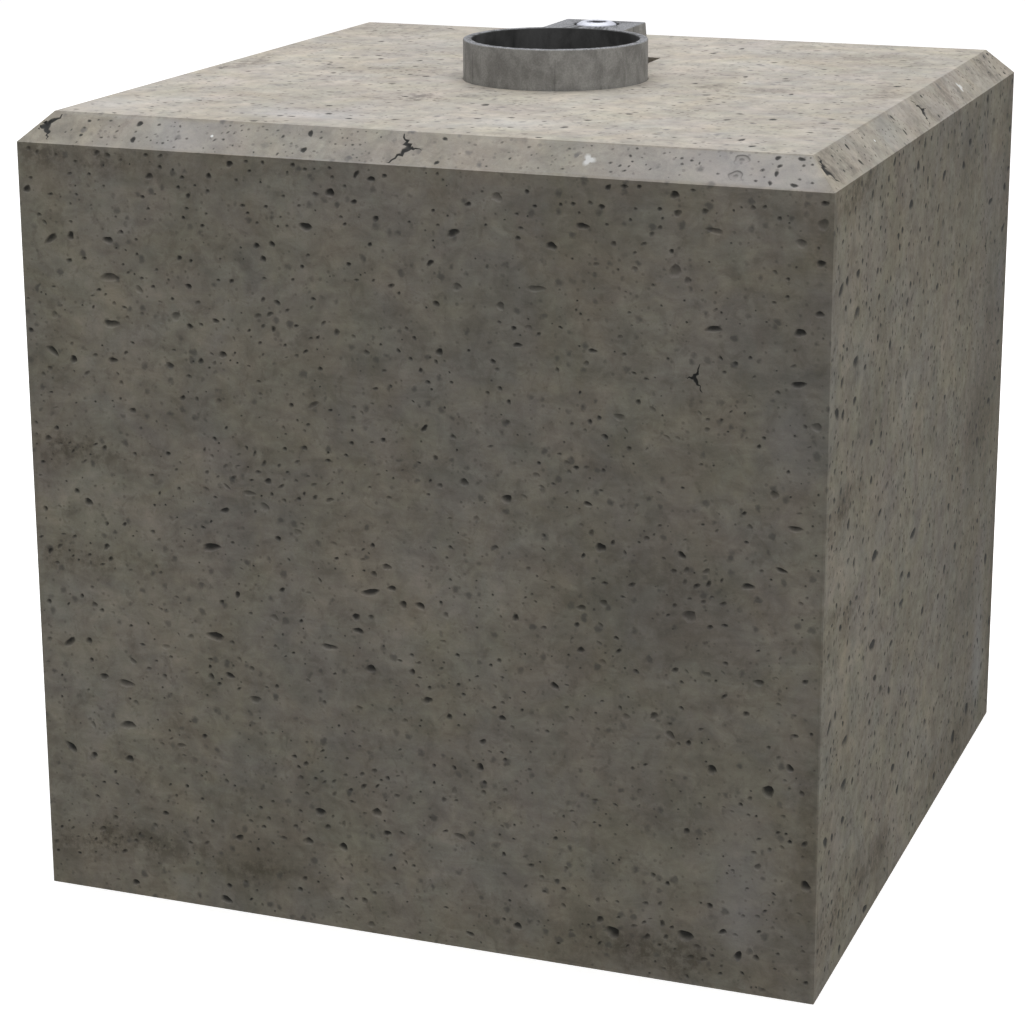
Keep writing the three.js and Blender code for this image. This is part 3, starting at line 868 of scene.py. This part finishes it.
def sleeve_piece():
    """The steel tube with its lug and the stepped hole in the lug."""
    parts = Parts()
    inner_radius = SLEEVE_RADIUS - SLEEVE_WALL
    lug_bottom = RIM - LUG_HEIGHT
    centre = (0.0, SCREW_CENTRE)
    outer, inner, bore = [], [], []
    for below, inset in edge_profile(SLEEVE_EDGE):
        outer.append(sleeve_outline(RIM - below, inset)[0])
        inner.append(circle(inner_radius + inset, SLEEVE_STEPS, RIM - below))
        bore.append(circle(COUNTERBORE_RADIUS + inset, SCREW_STEPS, RIM - below, centre))
    parts.add_cap(outer[0], [inner[0], bore[0]])
    lug_outline, tube, root = sleeve_outline(lug_bottom, 0)
    outer.append(lug_outline)
    for upper, lower in zip(outer, outer[1:]):
        parts.add_wall(upper, lower)
    hidden = arc(SLEEVE_RADIUS, root, math.pi - root, SLEEVE_STEPS // 4, lug_bottom)
    lug_only = lug_outline[: -len(tube)]
    shank_hole = circle(SCREW_HOLE_RADIUS, SCREW_STEPS, lug_bottom, centre)
    parts.add_cap([tube[-1], *lug_only, tube[0], *hidden[-2:0:-1]], [shank_hole], up=False)
    shaft = [*tube, *hidden[1:-1]]
    parts.add_wall(shaft, at_height(shaft, SLEEVE_BOTTOM))
    inner.append(at_height(inner[-1], SLEEVE_BOTTOM))
    # The walls inside the tube, and those of the hole for the screw, carry the value that the steel turns
    # into painted shade.
    for upper, lower in zip(inner, inner[1:]):
        parts.add_wall(lower, upper, stain=1.0)
    parts.add_cap(at_height(shaft, SLEEVE_BOTTOM), [inner[-1]], up=False)
    head_seat = SCREW_TOP - SCREW_HEAD_HEIGHT - CLEARANCE
    bore.append(at_height(bore[-1], head_seat))
    for upper, lower in zip(bore, bore[1:]):
        parts.add_wall(lower, upper, stain=1.0)
    parts.add_cap(bore[-1], [at_height(shank_hole, head_seat)], stain=1.0)
    parts.add_wall(shank_hole, at_height(shank_hole, head_seat), stain=1.0)
    return parts.build("sleeve_and_lug")


def screw_piece():
    """The locking screw, with a bevelled head and a hexagon socket."""
    parts = Parts()
    centre = (0.0, SCREW_CENTRE)
    under_head = SCREW_TOP - SCREW_HEAD_HEIGHT
    tip_chamfer = 1 * MM
    rows = [
        (SCREW_SHANK_RADIUS - tip_chamfer, SCREW_TIP),
        (SCREW_SHANK_RADIUS, SCREW_TIP + tip_chamfer),
        (SCREW_SHANK_RADIUS, under_head),
        (SCREW_RADIUS, under_head),
        (SCREW_RADIUS, RIM - SCREW_EDGE),
        (SCREW_RADIUS - SCREW_EDGE, RIM + SCREW_EDGE / 2),
        (SCREW_RADIUS - SCREW_HEAD_BEVEL, SCREW_TOP - SCREW_EDGE / 4),
        (SCREW_RADIUS - SCREW_HEAD_BEVEL - SCREW_EDGE, SCREW_TOP),
    ]
    loops = [circle(radius, SCREW_STEPS, height, centre) for radius, height in rows]
    for lower, upper in zip(loops, loops[1:]):
        parts.add_wall(upper, lower)
    parts.add_cap(loops[0], up=False)
    hexagon_radius = SCREW_SOCKET_FLAT / math.cos(math.pi / 6)
    lead_in = 0.4 * MM
    mouth = circle(hexagon_radius + lead_in, 6, SCREW_TOP, centre)
    throat = circle(hexagon_radius, 6, SCREW_TOP - lead_in, centre)
    floor = at_height(throat, SCREW_TOP - SCREW_SOCKET_DEPTH)
    parts.add_cap(loops[-1], [mouth])
    parts.add_wall(throat, mouth, smooth=False)
    # The socket's walls and floor carry the value that the zinc turns into painted shade.
    parts.add_wall(floor, throat, smooth=False, stain=1.0)
    parts.add_cap(floor, stain=1.0)
    return parts.build("socket_screw")


class Shader:
    """A node material, written as plain calls."""

    def __init__(self, name):
        self.material = bpy.data.materials.new(name)
        self.material.use_nodes = True
        self.nodes = self.material.node_tree.nodes
        self.links = self.material.node_tree.links
        self.surface = self.nodes["Principled BSDF"]
        self.place = self.nodes.new("ShaderNodeTexCoord").outputs["Object"]

    def set(self, socket, value):
        """Gives an input a number, a colour or another node's output."""
        if isinstance(value, bpy.types.NodeSocket):
            self.links.new(value, socket)
        elif isinstance(value, tuple) and len(socket.default_value) == 4:
            socket.default_value = (*value, 1.0)
        else:
            socket.default_value = value

    def finish(self, **inputs):
        """Sets the surface's own inputs, named with underscores for spaces."""
        for name, value in inputs.items():
            self.set(self.surface.inputs[name.replace("_", " ")], value)
        return self.material

    def add(self, kind, inputs, **settings):
        """Adds a node with its inputs and its own settings, and returns its outputs."""
        node = self.nodes.new(kind)
        for name, value in settings.items():
            setattr(node, name, value)
        for name, value in inputs.items():
            self.set(node.inputs[name], value)
        return node.outputs

    def stretched(self, scale, turn=(0.0, 0.0, 0.0)):
        """The place on the object, turned by degrees and then stretched."""
        turns = tuple(math.radians(angle) for angle in turn)
        inputs = {"Vector": self.place, "Rotation": turns, "Scale": scale}
        return self.add("ShaderNodeMapping", inputs)["Vector"]

    def cloud(self, scale, detail=4.0, roughness=0.55, distortion=0.0, place=None):
        """Smooth noise about one half, with so many features to a metre."""
        shape = {"Scale": scale, "Detail": detail, "Roughness": roughness, "Distortion": distortion}
        return self.add("ShaderNodeTexNoise", {"Vector": place or self.place, **shape})["Fac"]

    def warped(self, amount, scale):
        """The place on the object, shifted by noise so that what is drawn there is uneven."""
        shift = self.add("ShaderNodeTexNoise", {"Vector": self.place, "Scale": scale})["Color"]
        inputs = {0: shift, 1: (amount, amount, amount), 2: self.place}
        return self.add("ShaderNodeVectorMath", inputs, operation="MULTIPLY_ADD")["Vector"]

    def spots(self, scale, rarity, reach, softness, place):
        """Round spots about scattered points, of many sizes, and a random number for each spot."""
        cells = self.add("ShaderNodeTexVoronoi", {"Vector": place, "Scale": scale})
        numbers = self.add("ShaderNodeSeparateColor", {"Color": cells["Color"]})
        size = self.remap(numbers["Red"], rarity, 1.0, 0.0, reach)
        depth = self.math("SUBTRACT", size, cells["Distance"])
        return self.remap(depth, -softness, softness), numbers["Green"]

    def remap(self, value, low, high, to_low=0.0, to_high=1.0):
        inputs = {"Value": value, "From Min": low, "From Max": high, "To Min": to_low, "To Max": to_high}
        return self.add("ShaderNodeMapRange", inputs)["Result"]

    def math(self, operation, first, second=0.0):
        return self.add("ShaderNodeMath", {0: first, 1: second}, operation=operation)["Value"]

    def product(self, *values):
        total = values[0]
        for value in values[1:]:
            total = self.math("MULTIPLY", total, value)
        return total

    def mix(self, share, first, second):
        return self.add("ShaderNodeMix", {"Factor": share, 6: first, 7: second}, data_type="RGBA")[2]

    def brightened(self, colour, value):
        inputs = {"Vector": colour, "Scale": value}
        return self.add("ShaderNodeVectorMath", inputs, operation="SCALE")["Vector"]

    def attribute(self, name):
        return self.add("ShaderNodeAttribute", {}, attribute_name=name)["Fac"]

    def upward(self):
        """How far the surface faces up, from nought to one."""
        normal = self.add("ShaderNodeNewGeometry", {})["Normal"]
        height = self.add("ShaderNodeSeparateXYZ", {"Vector": normal})["Z"]
        return self.math("MAXIMUM", height, 0.0)

    def bump(self, height, strength, distance):
        inputs = {"Height": height, "Strength": strength, "Distance": distance}
        return self.add("ShaderNodeBump", inputs)["Normal"]


def concrete_material():
    """Grey-brown cement with clouds, fine grain, pin holes, grimy stains, painted shade in its holes and
    cracks, and a paler bloom on top that is partly painted light.
    """
    s = Shader("precast_concrete")
    rosy = s.remap(s.cloud(45, 6, 0.68, 0.6), 0.36, 0.64)
    warm = s.mix(rosy, (0.354, 0.333, 0.258), (0.378, 0.333, 0.258))
    cool = s.mix(rosy, (0.342, 0.327, 0.284), (0.364, 0.327, 0.284))
    cold = s.remap(s.cloud(28, 6, 0.68, 0.6, s.stretched((1, 1, 1), (40, 20, 60))), 0.36, 0.64)
    colour = s.mix(cold, warm, cool)
    wisps = s.cloud(1.0, 6, 0.66, 0.8, s.stretched((60, 60, 170), (0, 35, 0)))
    brightness = s.product(
        s.math("ADD", s.attribute("tone"), 1.0),
        s.remap(s.cloud(12, 4), 0.3, 0.7, 0.90, 1.10),
        s.remap(s.cloud(110, 8, 0.66, 0.5), 0.3, 0.7, 0.78, 1.22),
        s.remap(wisps, 0.3, 0.7, 0.86, 1.14),
        s.remap(s.cloud(1300, 3, 0.7), 0.25, 0.75, 0.95, 1.05),
    )
    colour = s.brightened(colour, brightness)
    blotches = s.remap(s.cloud(170, 5, 0.65, 0.8), 0.54, 0.68, 0.0, 0.35)
    colour = s.mix(blotches, colour, (0.17, 0.15, 0.12))

    stain = s.attribute("stain")
    grime = s.math("MAXIMUM", stain, 0.0)
    colour = s.mix(s.math("MULTIPLY", grime, 0.3), colour, (0.30, 0.25, 0.18))
    specks = s.remap(s.product(s.cloud(300, 6, 0.72), s.cloud(70, 3)), 0.22, 0.33, 0.0, 0.85)
    colour = s.mix(s.product(grime, specks), colour, (0.105, 0.088, 0.064))
    pale = s.math("MAXIMUM", s.math("MULTIPLY", stain, -0.45), 0.0)
    colour = s.mix(pale, colour, (0.52, 0.52, 0.555))

    filled_pores, fill = s.spots(210, 0.35, 0.30, 0.10, s.warped(0.0025, 400))
    filled_pores = s.product(filled_pores, s.remap(fill, 0.0, 1.0, 0.12, 0.7))
    colour = s.mix(filled_pores, colour, (0.10, 0.098, 0.092))
    # Pin holes, pressed in by the bump and painted dark as the shade in them.
    pin_holes, _ = s.spots(480, 0.6, 0.30, 0.12, s.place)
    colour = s.mix(s.math("MULTIPLY", pin_holes, 0.35), colour, (0.09, 0.085, 0.075))

    # Paler and bluer the more a face looks up: partly a bloom of laitance, partly painted light on the top
    # and the chamfers.
    upward = s.upward()
    colour = s.brightened(colour, s.remap(upward, 0.5, 1.0, 1.0, 1.16))
    colour = s.mix(s.math("MULTIPLY", upward, 0.1), colour, (0.55, 0.55, 0.70))

    # Painted shade in the air holes, bubbles and cracks, and pale lime flecks where the mark is negative.
    mark = s.attribute("mark")
    painted_pit_shade = s.math("ADD", s.remap(mark, 0.0, 0.9, 0.0, 0.88), s.remap(mark, 0.9, 1.8, 0.0, 0.09))
    colour = s.mix(painted_pit_shade, colour, (0.036, 0.037, 0.037))
    lime = s.math("ADD", s.remap(mark, 0.0, -0.9, 0.0, 0.62), s.remap(mark, -0.9, -1.6, 0.0, 0.36))
    colour = s.mix(lime, colour, (0.87, 0.88, 0.88))

    grain = s.math("SUBTRACT", s.cloud(900, 5, 0.7), s.math("MULTIPLY", pin_holes, 0.8))
    return s.finish(
        Base_Color=colour,
        Roughness=s.remap(s.cloud(300, 3), 0.3, 0.7, 0.84, 0.96),
        Specular_IOR_Level=0.25,
        Normal=s.bump(grain, 0.3, 0.3 * MM),
    )


def steel_material():
    """Dull galvanised steel: patches and drips on the walls, fine speckle on the rim, painted shade inside.
    """
    s = Shader("dull_galvanised_steel")
    patches = s.cloud(1.0, 5, 0.6, 0.3, s.stretched((125, 125, 80)))
    drips = s.remap(s.cloud(1.0, 3, 0.6, 0.5, s.stretched((220, 220, 40))), 0.61, 0.70)
    speckle = s.cloud(1500, 3, 0.75)
    wall = s.mix(s.remap(patches, 0.42, 0.58), (0.238, 0.232, 0.220), (0.350, 0.343, 0.327))
    wall = s.mix(s.math("MULTIPLY", drips, 0.5), wall, (0.08, 0.077, 0.07))
    flat = s.mix(s.remap(speckle, 0.38, 0.62), (0.12, 0.124, 0.135), (0.36, 0.365, 0.385))
    colour = s.mix(s.remap(s.upward(), 0.5, 0.9), wall, flat)
    colour = s.brightened(colour, s.remap(speckle, 0.3, 0.7, 0.82, 1.18))
    # Painted shade on the walls inside the sleeve and the hole for the screw, dark and blotchy.
    inside = s.mix(s.remap(patches, 0.40, 0.60), (0.018, 0.019, 0.020), (0.050, 0.051, 0.053))
    colour = s.mix(s.math("MULTIPLY", s.attribute("stain"), 0.88), colour, inside)
    return s.finish(
        Base_Color=colour,
        Metallic=0.3,
        Roughness=s.remap(patches, 0.3, 0.7, 0.55, 0.75),
        Normal=s.bump(s.math("ADD", patches, s.math("MULTIPLY", speckle, 0.4)), 0.2, 0.3 * MM),
    )


def zinc_material():
    """Bright zinc plating with a faint uneven bloom, and painted shade in the socket."""
    s = Shader("bright_zinc")
    bloom = s.cloud(420, 5, 0.65)
    colour = s.mix(s.remap(bloom, 0.3, 0.7), (0.60, 0.62, 0.70), (0.70, 0.72, 0.80))
    # Painted shade in the hexagon socket.
    colour = s.mix(s.math("MULTIPLY", s.attribute("stain"), 0.9), colour, (0.10, 0.10, 0.11))
    return s.finish(
        Base_Color=colour,
        Metallic=0.25,
        Roughness=s.remap(bloom, 0.3, 0.7, 0.45, 0.6),
        Normal=s.bump(bloom, 0.1, 0.1 * MM),
    )


def floor_material():
    """A pale, softly glowing studio floor with a faint unevenness."""
    s = Shader("pale_floor")
    tone = s.mix(s.cloud(3.0, 2), (0.90, 0.90, 0.90), (0.93, 0.93, 0.93))
    return s.finish(
        Base_Color=tone,
        Roughness=0.9,
        Specular_IOR_Level=0.1,
        Emission_Color=(1.0, 1.0, 1.0),
        Emission_Strength=0.6,
    )


def dress(piece, node, material):
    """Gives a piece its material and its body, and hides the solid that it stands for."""
    piece.data.materials.append(material)
    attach(piece, "root")
    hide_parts(node)


# The camera was solved from the block's corners. Pixels are those of the photograph.
IMAGE_WIDTH = 1026
IMAGE_HEIGHT = 1024
FOCAL_PIXELS = 2775.04
OPTICAL_CENTRE = (553.85, 418.73)
SENSOR = 36.0
CAMERA_AZIMUTH = 20.021
CAMERA_ELEVATION = 14.993
CAMERA_PLACE = (0.36624, -1.00701, 0.44640)


def add_camera():
    data = bpy.data.cameras.new("camera")
    data.sensor_width = SENSOR
    data.lens = FOCAL_PIXELS / IMAGE_WIDTH * SENSOR
    data.shift_x = (IMAGE_WIDTH / 2 - OPTICAL_CENTRE[0]) / IMAGE_WIDTH
    data.shift_y = (OPTICAL_CENTRE[1] - IMAGE_HEIGHT / 2) / IMAGE_WIDTH
    camera = bpy.data.objects.new("camera", data)
    camera.location = CAMERA_PLACE
    camera.rotation_euler = (math.radians(90 - CAMERA_ELEVATION), 0, math.radians(CAMERA_AZIMUTH))
    bpy.context.scene.collection.objects.link(camera)
    bpy.context.scene.camera = camera


def add_floor():
    radius = 14.0
    steps = 96
    mesh = bpy.data.meshes.new("studio_floor")
    mesh.from_pydata(circle(radius, steps, 0.0), [], [list(range(steps))])
    floor = bpy.data.objects.new("studio_floor", mesh)
    mesh.materials.append(floor_material())
    floor.visible_diffuse = False
    bpy.context.scene.collection.objects.link(floor)


def add_soft_light(name, place, target, size, watts):
    data = bpy.data.lights.new(name, "AREA")
    data.shape = "SQUARE"
    data.size = size
    data.energy = watts
    light = bpy.data.objects.new(name, data)
    light.location = place
    aim = Vector(target) - Vector(place)
    light.rotation_euler = aim.to_track_quat("-Z", "Y").to_euler()
    bpy.context.scene.collection.objects.link(light)


def add_lights():
    """A large soft light overhead and a little behind, and a weak one in front on the right."""
    middle = (0, 0, BLOCK_TOP)
    add_soft_light("overhead_light", (-0.15, 0.35, 2.2), middle, 2.2, 48.5)
    add_soft_light("front_light", (2.4, -2.38, 1.2), middle, 1.8, 17.5)


def add_world():
    """A dim even sky over the horizon, and darkness below it."""
    world = bpy.data.worlds.new("studio")
    bpy.context.scene.world = world
    world.use_nodes = True
    nodes = world.node_tree.nodes
    links = world.node_tree.links
    split = nodes.new("ShaderNodeSeparateXYZ")
    links.new(nodes.new("ShaderNodeTexCoord").outputs["Generated"], split.inputs["Vector"])
    sky = nodes.new("ShaderNodeMapRange")
    for name, number in (("From Min", -0.05), ("From Max", 0.05), ("To Min", 0.04), ("To Max", 0.3)):
        sky.inputs[name].default_value = number
    links.new(split.outputs["Z"], sky.inputs["Value"])
    links.new(sky.outputs["Result"], nodes["Background"].inputs["Strength"])
    nodes["Background"].inputs["Color"].default_value = (1.0, 1.0, 1.0, 1.0)


add_camera()
dress(concrete_piece(), "concrete_block", concrete_material())
dress(sleeve_piece(), "post_sleeve", steel_material())
dress(screw_piece(), "clamp_screw", zinc_material())
add_floor()
add_lights()
add_world()
bpy.context.scene.view_settings.view_transform = "Standard"
